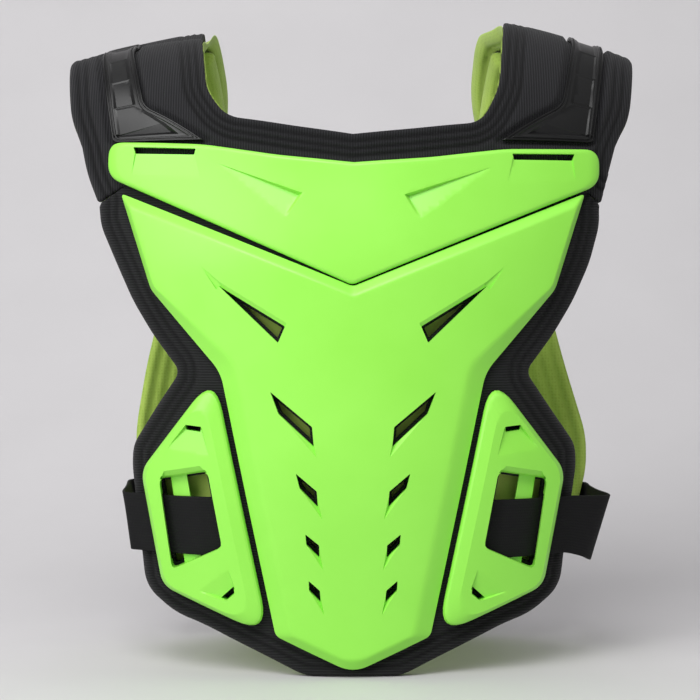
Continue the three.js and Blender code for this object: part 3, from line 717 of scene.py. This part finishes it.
# Edges sharper than this stay sharp in the shading, in degrees
FACET_ANGLE = 18

# Shares of a sloped border that are straight, and of a bevelled one that are rounded
STRAIGHT = 0.75
ROUNDED = 0.45


def sloped(f):
    """Flat sloped border that rounds over into the face"""
    return f if f < STRAIGHT else f - (f - STRAIGHT) ** 2


def rounded_over(f):
    """Quarter-round border"""
    return math.sqrt(1 - (1 - f) ** 2)


def rounded_bevel(f):
    """Straight border, rounded where it leaves the rim"""
    return ROUNDED * rounded_over(min(f * 4, 1)) + (1 - ROUNDED) * f


def moulded_plate(name, rows, crown, wall, rise, profile, shares):
    """Plate body with a border that rises to its crown"""
    base = rounded(rows)
    levels = [(base, SEAT), (base, SEAT + wall)]
    levels += [(rounded(between(rows, crown, f)), SEAT + wall + rise * profile(f)) for f in shares]
    return loft(name, levels)


def both_sides(points):
    """Points of the left half and their mirror on the right"""
    return [points, [(-row[0], *row[1:]) for row in points]]


def pulled_in(points, share=0.08):
    """Corners drawn a little towards their middle, so that a scoop runs into its vent"""
    middle = np.mean(points, 0)
    return [tuple(mix(np.array(point), middle, share)) for point in points]


def finish_plate(piece, place, node, material, pitch=4):
    """Bends a finished plate onto its seat and shades it with crisp edges"""
    slice_grid(piece, pitch)
    wrap(piece, place)
    dress(piece, node, material)
    bpy.ops.object.shade_smooth_by_angle(angle=math.radians(FACET_ANGLE))


def chest_plate():
    shares = [0.25, 0.5, 0.75, 0.85, 0.95, 1.05, 1.15, 1.25]
    piece = moulded_plate("plate_chest", whole(PLATE_OUTLINE), whole(PLATE_CROWN), PLATE_WALL, PLATE_RISE,
                          sloped, shares)
    top = SEAT + PLATE_WALL + PLATE_RISE
    dents, holes = [], []
    for vent in VENTS:
        if vent.tip:
            upper, deep, outer = pulled_in(vent.corners)[1:]
            dents += both_sides([(*outer, 0), (*vent.tip, 0), (*upper, 0), (*deep, VENT_SCOOP)])
        holes += [cutter(side, SEAT - PAST, top + PAST) for side in both_sides(vent.corners)]
    dents += both_sides(VENT_CHAMFER) + both_sides(VENT_GROOVE)
    cut(piece, [wedge(dent, top) for dent in dents] + holes)
    soften(piece, PLATE_EDGE)
    finish_plate(piece, on_front, "chest_plate", LIME)


def chest_yoke():
    shares = [0.1, 0.3, 0.55, 0.8, 1]
    rows = whole(YOKE_OUTLINE)
    piece = moulded_plate("plate_yoke", rows, inset(rows, 1), PLATE_WALL, YOKE_RISE, rounded_over, shares)
    top = SEAT + PLATE_WALL + YOKE_RISE
    tip, deep, low = YOKE_TRIANGLE
    recess = [(*tip, 0), (*deep, YOKE_RECESS), (*low, 0)]
    tools = [wedge(side, top, YOKE_FLARE) for side in both_sides(recess)]
    tools += [wedge(side, top) for side in both_sides(YOKE_RAMP)]
    tools += [cutter(side, SEAT - PAST, top + PAST) for side in both_sides(YOKE_SLOT)]
    cut(piece, tools)
    soften(piece, YOKE_EDGE)
    finish_plate(piece, on_yoke_seat, "chest_yoke", LIME)


def side_frames():
    shares = [0.1, 0.25, 0.45, 0.7, 1]
    left = moulded_plate("strap_frame_left", FRAME_OUTLINE, inset(FRAME_OUTLINE, 1), FRAME_WALL, FRAME_RISE,
                         rounded_bevel, shares)
    top = SEAT + FRAME_WALL + FRAME_RISE
    tools = [wedge(dent, top, RAMP_FLARE) for dent in FRAME_RAMPS]
    tools += [wedge(dent, top) for dent in FRAME_LIP]
    tools += [cutter(FRAME_WINDOW, SEAT - PAST, top + PAST, WINDOW_ROUND)]
    tools += [cutter(slot, SEAT - PAST, top + PAST, SLOT_ROUND) for slot in FRAME_SLOTS]
    edge = STRAP_WIDTH / 2 + STRAP_SLACK
    for start, end in TUNNELS:
        way = [(start - TUNNEL_LEAN, STRAP_MIDDLE - edge), (end - TUNNEL_LEAN, STRAP_MIDDLE - edge),
               (end + TUNNEL_LEAN, STRAP_MIDDLE + edge), (start + TUNNEL_LEAN, STRAP_MIDDLE + edge)]
        tools.append(cutter(way, SEAT - PAST, SEAT + TUNNEL_HEIGHT))
    cut(left, tools)
    bar = cutter(FRAME_BAR, SEAT - BAR_DEPTH, SEAT + BAR_TOP)
    soften(bar, BAR_EDGE, segments=5)
    with_modifier(left, "BOOLEAN", operation="UNION", solver="EXACT", object=bar)
    bpy.data.objects.remove(bar)
    soften(left, FRAME_EDGE)
    right = mirrored_copy(left, "strap_frame_right")
    for piece, side in ((left, "left"), (right, "right")):
        finish_plate(piece, on_front, f"side_frame_{side}", LIME, pitch=3)


def shoulder_guards():
    base = rounded(GUARD_OUTLINE)
    levels = [(base, GUARD_SEAT), (base, GUARD_SEAT + GUARD_WALL)]
    for width, height in GUARD_BORDER:
        levels.append((rounded(inset(GUARD_OUTLINE, width)), GUARD_SEAT + height))
    left = loft("guard_left", levels)
    cut(left, [wedge(dent, levels[-1][1], GUARD_FLARE) for dent in GUARD_PANELS])
    soften(left, GUARD_EDGE, angle=40, segments=2)
    right = mirrored_copy(left, "guard_right")
    for piece, side in ((left, "left"), (right, "right")):
        finish_plate(piece, on_arms, f"shoulder_guard_{side}", GUARD_BLACK, pitch=3)


# Padded panels

# edge: thickness of the pressed rim at its edge; roll: width over which it comes up to the full panel;
# below: share of the loss that is pressed up from below; channels: how far in the sewn channels run;
# depth: how deep they are
Rim = namedtuple("Rim", "edge roll below channels depth")
SEAM_RIM = Rim(7.6, 1.6, 0, (), 0)
NECK_RIM = Rim(1.6, 11, 0.75, (5.3, 10.5, 15.5), 2.3)
OUTER_RIM = Rim(4.6, 5.5, 0, (7.5, 13.5), 2)
WING_RIM = Rim(1.2, 11, 0.9, (), 0)
CHANNEL_WIDTH = 1.6

# Depth of a channel at which its painted shade reaches the knit's darkest colour
DARKEST_SHADE_DEPTH = 2.6

# Over the shoulder the channels keep only a share of their depth
RIDGE_CHANNEL = 0.25
RIDGE_HALF, RIDGE_RUN = 15, 50

# Soft unevenness of the foam
RUMPLE = 0.9
RUMPLE_SIZE = 30

# Edge loops that hold the rim of a panel, inward one after the other
RIM_LOOPS = (0.8, 1.4)

# Slope at the side of a pocket for a guard
POCKET_REACH, POCKET_RUN = 1.3, 3

# Where the panels' rims change: the seam under the yoke, the neck and the wings of the back
SEAM_UP, SEAM_RISE, SEAM_HALF = 311, 0.14, 185
YOKE_TOP, YOKE_HALF = 352.5, 186
NECK_HALF = 118
WING_UP = 470
BACK_NECK_UP, BACK_NECK_HALF = 378, 111

# Behind the neck the lining folds out past the foam, which ends here
TAIL_EDGE = 116


def pressed_rims(points, loop, rim_at):
    """How far a panel's rims lift its underside and lower its face, and the depth of its channels"""
    rims = {}
    for start, end in zip(loop, loop[1:] + loop[:1]):
        rims.setdefault(rim_at(*((start + end) / 2)), []).append((start, end))
    lift, drop, groove = np.zeros((3, len(points)))
    for rim, edges in rims.items():
        depth = rim_distance(points, edges)
        to_full = 1 - np.clip(depth / rim.roll, 0, 1)
        lost = (PAD_TO - PAD_FROM - rim.edge) * (1 - np.sqrt(1 - to_full ** 2))
        lift = np.maximum(lift, lost * rim.below)
        drop = np.maximum(drop, lost * (1 - rim.below))
        for at in rim.channels:
            groove = np.maximum(groove, rim.depth * np.exp(-((depth - at) / CHANNEL_WIDTH) ** 2))
    groove *= mix(RIDGE_CHANNEL, 1, ease((np.abs(points[:, 1] - RIDGE) - RIDGE_HALF) / RIDGE_RUN))
    return lift, drop + groove, groove


def rumple(points):
    """Soft unevenness of the foam under its fabric"""
    spots = np.column_stack([points / (RUMPLE_SIZE, 2 * RUMPLE_SIZE), np.zeros(len(points))])
    return np.array([0.5 + 0.5 * noise.noise(Vector(spot)) for spot in spots]) * RUMPLE


def slab(name, rows, low, high, holes, pitch):
    """Flat panel of even thickness with a close rim, cut into a grid"""
    loop = rounded(rows)
    piece = loft(name, [(loop, low), (loop, high)])
    edit(piece)
    mesh = bmesh.from_edit_mesh(piece.data)
    for face in mesh.faces:
        face.select = abs(face.normal.z) > 0.5
    bmesh.update_edit_mesh(piece.data)
    for width in RIM_LOOPS:
        bpy.ops.mesh.inset(thickness=width)
    close_edit()
    cut(piece, [cutter(hole, low - PAST, high + PAST) for hole in holes])
    slice_grid(piece, pitch)
    return piece, loop


def foam_panel(name, half, place, node, material, rim_at, pitch, holes=(), pockets=()):
    """Foam panel with pressed rims, and pockets pressed in under what is set on it"""
    piece, loop = slab(name, whole(half), PAD_FROM, PAD_TO, holes, pitch)
    flat = flat_points(piece)
    share = (flat[:, 2] - PAD_FROM) / (PAD_TO - PAD_FROM)
    lift, drop, groove = pressed_rims(flat[:, :2], loop, rim_at)
    drop += rumple(flat[:, :2])
    # Painted shade: the depth of the sewn channels, kept for darkening the knit's colour in them
    groove_shade = piece.data.attributes.new("groove_shade", "FLOAT", "POINT")
    groove_shade.data.foreach_set("value", groove / DARKEST_SHADE_DEPTH)
    for pocket in pockets:
        away = rim_distance(flat[:, :2], zip(pocket, pocket[1:] + pocket[:1]))
        away[inside(flat[:, :2], pocket)] = 0
        drop = np.maximum(drop, (PAD_TO - GUARD_POCKET) * ease(POCKET_REACH - away / POCKET_RUN))
    flat[:, 2] = mix(PAD_FROM + lift, PAD_TO - drop, share)
    set_points(piece, flat)
    wrap(piece, place)
    dress(piece, node, material)


def front_rim(x, up):
    return SEAM_RIM if up > SEAM_UP + abs(x) * SEAM_RISE and abs(x) < SEAM_HALF else OUTER_RIM


def shoulder_rim(x, up):
    if up < YOKE_TOP and abs(x) < YOKE_HALF:
        return SEAM_RIM
    return NECK_RIM if abs(x) < NECK_HALF else OUTER_RIM


def back_rim(x, up):
    if up > WING_UP:
        return WING_RIM
    return NECK_RIM if up > BACK_NECK_UP and abs(x) < BACK_NECK_HALF else OUTER_RIM


def foam_panels():
    holes = []
    for opening in [vent.corners for vent in VENTS] + [FRAME_WINDOW]:
        holes += both_sides(grown(opening, VENT_MARGIN))
    guard = rounded(inset([row._replace(slope=-GUARD_MARGIN) for row in GUARD_OUTLINE], 1))
    guards = [guard, [Vector((-spot.x, spot.y)) for spot in guard]]
    foam_panel("panel_front", FRONT_OUTLINE, on_front, "front_pad", KNIT_LEVEL, front_rim, pitch=2,
               holes=holes)
    shoulders = [row._replace(x=TAIL_EDGE, other=None) if row.x < TAIL_EDGE and row.up > RIDGE else row
                 for row in UPPER_OUTLINE]
    foam_panel("panel_shoulders", shoulders, on_arms, "upper_pad", KNIT_UPRIGHT, shoulder_rim, pitch=1.6,
               pockets=guards)
    foam_panel("panel_back", BACK_OUTLINE, on_back, "back_pad", KNIT_UPRIGHT, back_rim, pitch=3)


LINING_HEM = 1.5
LINING_EDGE, LINING_FULL, LINING_RUN = 0.8, 1.6, 3
QUILT_PITCH = 9
QUILT_PUFF, PUFF_ROUND, PUFF_RUN = 2.6, 0.7, 4
QUILT_BORDER = 27

# In the neck, above this height, the lining peeks out past the foam
LINING_PEEK = 0.9
PEEK_UP = 402


def quilted_lining(name, half, place, node, rim_at):
    """Mesh lining sewn down in channels, along the rim and upright within"""
    rows = [row._replace(up=max(row.up, LINING_HEM)) for row in whole(half)]
    for i, (row, after) in enumerate(zip(rows, rows[1:] + rows[:1])):
        up = (row.up + after.up) / 2
        at_neck = rim_at((row.x + after.x) / 2, up) is NECK_RIM and up > PEEK_UP
        rows[i] = row._replace(slope=-LINING_PEEK if at_neck else 0)
    piece, loop = slab(name, inset(rows, 1), LINING_FROM, LINING_TO, holes=(), pitch=2)
    flat = flat_points(piece)
    depth = rim_distance(flat[:, :2], list(zip(loop, loop[1:] + loop[:1])))
    share = (LINING_TO - flat[:, 2]) / (LINING_TO - LINING_FROM)
    lift = pressed_rims(flat[:, :2], loop, rim_at)[0]
    across = np.where(depth < QUILT_BORDER, depth, flat[:, 0])
    swell = np.abs(np.sin(math.pi * across / QUILT_PITCH)) ** PUFF_ROUND
    puff = QUILT_PUFF * swell * ease(depth / PUFF_RUN)
    thickness = mix(LINING_EDGE, LINING_FULL, ease(depth / LINING_RUN)) + puff
    flat[:, 2] = LINING_TO + lift - share * thickness
    set_points(piece, flat)
    wrap(piece, place)
    dress(piece, node, LINING_MESH)


def linings():
    quilted_lining("lining_front", FRONT_OUTLINE, on_front, "front_lining", front_rim)
    quilted_lining("lining_shoulders", UPPER_OUTLINE, on_arms, "upper_lining", shoulder_rim)
    quilted_lining("lining_back", BACK_OUTLINE, on_back, "back_lining", back_rim)


# Waist straps


def strap_edges(free, back, raised):
    """Lower and upper edge of a strap at each station, drawn on the left, in millimetres"""
    low = STRAP_MIDDLE + raised - STRAP_WIDTH / 2
    high = STRAP_MIDDLE + raised + STRAP_WIDTH / 2
    lower, upper = [], []
    for x, out, lean in STRAP_FRONT:
        lower.append(body_point(*np.array([[x - lean], [low], [out]], float))[0])
        upper.append(body_point(*np.array([[x + lean], [high], [out]], float))[0])
    for x, y, sag, lean in free:
        lower.append(np.array([x - lean, y, low - sag * SAG_LOWER]))
        upper.append(np.array([x + lean, y, high - sag * SAG_UPPER]))
    for x, out, lean in back:
        lower.append(body_point(*np.array([[x - lean], [low], [out]], float))[0] * (1, -1, 1))
        upper.append(body_point(*np.array([[x + lean], [high], [out]], float))[0] * (1, -1, 1))
    return np.array(lower), np.array(upper)


def along_curve(points, t):
    """Smooth curve through points, at places t counted in points"""
    first = np.clip(np.floor(t).astype(int), 0, len(points) - 2)
    k = (t - first)[:, None]
    p0, p1 = points[np.maximum(first - 1, 0)], points[first]
    p2, p3 = points[first + 1], points[np.minimum(first + 2, len(points) - 1)]
    return 0.5 * (2 * p1 + (p2 - p0) * k + (2 * p0 - 5 * p1 + 4 * p2 - p3) * k ** 2
                  + (3 * p1 - p0 - 3 * p2 + p3) * k ** 3)


def waist_strap(name, stations, side, node):
    """Flat webbing with rounded edges, laid along its stations"""
    lower, upper = strap_edges(*stations)
    lengths = np.linalg.norm(np.diff((lower + upper) / 2, axis=0), axis=1)
    run = np.concatenate([[0], np.cumsum(lengths)])
    deselect()
    bpy.ops.mesh.primitive_grid_add(x_subdivisions=120, y_subdivisions=14, size=1)
    piece = bpy.context.object
    piece.name = piece.data.name = name
    grid = flat_points(piece) + 0.5
    t = np.interp(grid[:, 0] * run[-1], run, np.arange(len(run)))
    points = mix(along_curve(lower, t), along_curve(upper, t), grid[:, 1:2])
    points[:, 0] *= side
    flat = np.stack([grid[:, 0] * run[-1], grid[:, 1] * STRAP_WIDTH, 0 * t], 1) * MM
    kept = piece.data.attributes.new("flat", "FLOAT_VECTOR", "POINT")
    kept.data.foreach_set("vector", flat.ravel())
    set_points(piece, in_frame(points))
    with_modifier(piece, "SOLIDIFY", thickness=STRAP_THICKNESS * MM, offset=0)
    edit(piece)
    bpy.ops.mesh.normals_make_consistent(inside=False)
    close_edit()
    with_modifier(piece, "BEVEL", width=STRAP_EDGE * MM, segments=3, limit_method="ANGLE",
                  angle_limit=math.radians(50))
    dress(piece, node, WEBBING)


# Room, in metres

FLOOR_SIZE = 8
FLOOR_FORWARD = 2.6
WALL_HEIGHT = 4
SWEEP_WIDTH = 1.2


def select_back_edge(sweep):
    """Selects the edge of the open floor that lies at the back, on the ground"""
    bpy.ops.mesh.select_mode(type="EDGE")
    bpy.ops.mesh.select_all(action="DESELECT")
    mesh = bmesh.from_edit_mesh(sweep.data)
    for edge in mesh.edges:
        edge.select_set(all(vertex.co.y > FLOOR_SIZE / 4 and vertex.co.z < WALL_HEIGHT / 4
                            for vertex in edge.verts))
    bmesh.update_edit_mesh(sweep.data)


def floor():
    """Pale floor that sweeps up behind into a backdrop"""
    deselect()
    bpy.ops.mesh.primitive_plane_add(size=FLOOR_SIZE)
    sweep = bpy.context.object
    sweep.name = sweep.data.name = "floor"
    edit(sweep)
    select_back_edge(sweep)
    bpy.ops.mesh.extrude_region_move(TRANSFORM_OT_translate={"value": (0, 0, WALL_HEIGHT)})
    select_back_edge(sweep)
    bpy.ops.mesh.bevel(offset=SWEEP_WIDTH, segments=24, affect="EDGES")
    bpy.ops.mesh.select_all(action="SELECT")
    bpy.ops.transform.translate(value=(0, -FLOOR_FORWARD, 0))
    bpy.ops.mesh.select_mode(type="VERT")
    close_edit()
    bpy.ops.object.shade_smooth()
    sweep.data.materials.append(painted_floor("pale painted floor", "cccacc", "d5d3d5"))


MIDDLE = (0, 0, 0.24)
CHEST = (0, -0.1, 0.4)
BACKDROP = (0, 1.3, 0.8)
Light = namedtuple("Light", "name place aim size power")
LIGHTS = [
    Light("key", (-1.4, -1.4, 1.1), MIDDLE, 1.3, 24),
    Light("front", (-0.3, -1.3, 1.7), CHEST, 1, 22),
    Light("right", (0.7, -1.3, 1.6), CHEST, 1, 3),
    Light("backdrop", (0, 0.5, 2.2), BACKDROP, 1.6, 8.4),
]
ROOM_LIGHT = 0.3


def lights():
    for light in LIGHTS:
        data = bpy.data.lights.new(light.name, "AREA")
        data.size = light.size
        data.energy = light.power
        lamp = bpy.data.objects.new(light.name, data)
        lamp.location = light.place
        lamp.rotation_euler = (Vector(light.aim) - Vector(light.place)).to_track_quat("-Z", "Y").to_euler()
        bpy.context.collection.objects.link(lamp)
    world = bpy.data.worlds.new("studio")
    world.use_nodes = True
    background = world.node_tree.nodes["Background"]
    background.inputs["Color"].default_value = (1, 1, 1, 1)
    background.inputs["Strength"].default_value = ROOM_LIGHT
    bpy.context.scene.world = world
    bpy.context.scene.view_settings.view_transform = "Standard"


# The camera stands level with the chest and a little above the middle of the picture, in millimetres
CAMERA_AT = (-1.2, -1415.6, 254)
CAMERA_AIM = (-1.2, -115.6, 233)
CAMERA_FIELD = 490
SENSOR = 36


def camera():
    place, aim = Vector(CAMERA_AT) * MM, Vector(CAMERA_AIM) * MM
    data = bpy.data.cameras.new("camera")
    data.sensor_width = SENSOR
    data.lens = SENSOR * (aim - place).length / (CAMERA_FIELD * MM)
    eye = bpy.data.objects.new("camera", data)
    eye.location = place
    eye.rotation_euler = (aim - place).to_track_quat("-Z", "Y").to_euler()
    bpy.context.collection.objects.link(eye)
    bpy.context.scene.camera = eye


camera()
lights()
floor()
chest_plate()
chest_yoke()
side_frames()
shoulder_guards()
foam_panels()
linings()
waist_strap("strap_left", (STRAP_FREE_LEFT, STRAP_BACK_LEFT, 0), 1, "waist_strap_left")
waist_strap("strap_right", (STRAP_FREE_RIGHT, STRAP_BACK_RIGHT, STRAP_RAISE_RIGHT), -1, "waist_strap_right")
